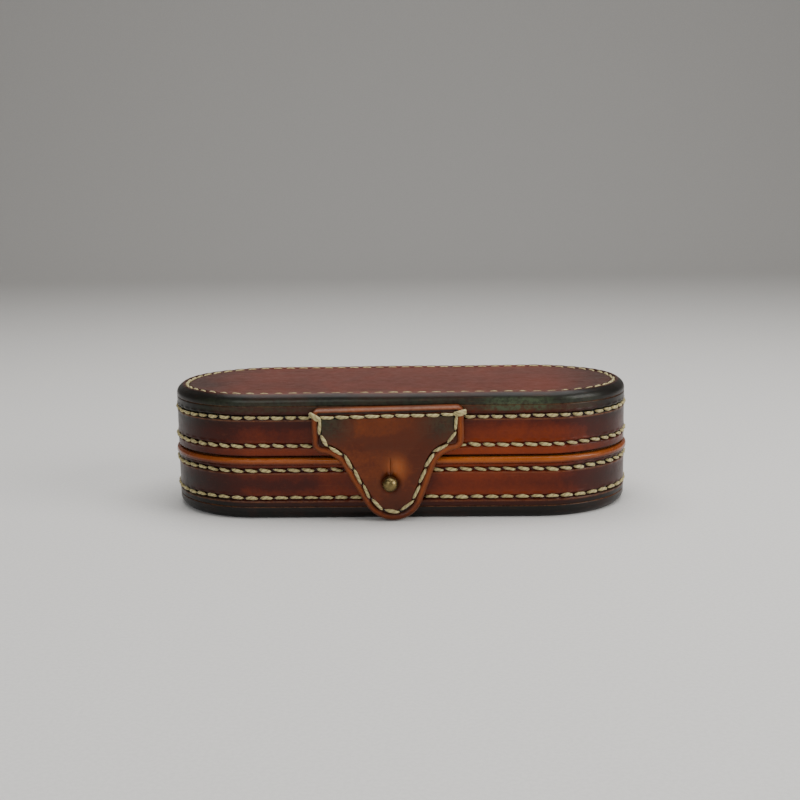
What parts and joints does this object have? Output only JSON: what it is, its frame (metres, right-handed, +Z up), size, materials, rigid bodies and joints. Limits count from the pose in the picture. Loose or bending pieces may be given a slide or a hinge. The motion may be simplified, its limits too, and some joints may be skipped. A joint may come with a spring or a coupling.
{
  "type": "hard eyeglasses case",
  "caption": "Hand-sewn hard leather eyeglasses case: a base tray and a hinged lid with rounded ends, closed by a front flap over a ball stud.",
  "frame": {"origin": "middle of the footprint, on the surface that the case stands on", "axes": "+X along the length, +Z up, the front with the flap faces -Y"},
  "size_m": [0.17, 0.0809, 0.0452],
  "materials": {
    "panel_leather": "burnished, glossy",
    "band_leather": "burnished, satin",
    "rim_leather": "burnished edge, satin",
    "flap_leather": "burnished, satin",
    "strap_leather": "satin",
    "shell_leather": "matte, stiffened",
    "suede_lining": "napped suede",
    "leather_board": "matte",
    "linen_thread": "waxed",
    "antique_brass": "antique"
  },
  "bodies": {
    "base": {"base_shell": "shell_leather", "base_bottom_panel": "panel_leather", "base_wall_band": "band_leather", "base_rim_welt": "rim_leather", "base_locating_lip": "shell_leather", "base_lining": "suede_lining", "base_bottom_board": "leather_board", "base_pad": "suede_lining", "base_bottom_stitching": "linen_thread", "base_wall_lower_stitching": "linen_thread", "base_wall_upper_stitching": "linen_thread", "stud_post": "antique_brass", "stud_washer": "antique_brass", "stud_screw": "antique_brass", "hinge_leaf_base": "strap_leather", "hinge_stitching_base": "linen_thread", "hinge_fold": "strap_leather"},
    "lid": {"lid_shell": "shell_leather", "lid_top_panel": "panel_leather", "lid_wall_band": "band_leather", "lid_lining": "suede_lining", "lid_top_board": "leather_board", "lid_pad": "suede_lining", "lid_top_stitching": "linen_thread", "lid_wall_lower_stitching": "linen_thread", "lid_wall_upper_stitching": "linen_thread", "flap_root_outer": "flap_leather", "flap_root_filler": "flap_leather", "flap_root_stitching": "linen_thread", "flap_bar_tacks": "linen_thread", "flap_fold": "flap_leather", "hinge_leaf_lid": "strap_leather", "hinge_stitching_lid": "linen_thread"},
    "flap": {"flap_outer": "flap_leather", "flap_lining": "flap_leather", "flap_edge_stitching": "linen_thread"}
  },
  "joints": [
    {"name": "lid_open", "type": "hinge", "parent": "base", "child": "lid", "pos_m": [0, 0.0353, 0.02265], "axis": [-1, 0, 0], "range_deg": [0, 110], "deforming": ["hinge_fold"]},
    {"name": "flap_lift", "type": "hinge", "parent": "lid", "child": "flap", "pos_m": [-0.0032, -0.037, 0.0346], "axis": [-1, 0, 0], "range_deg": [0, 90], "deforming": ["flap_fold", "flap_outer", "flap_lining"]}
  ]
}
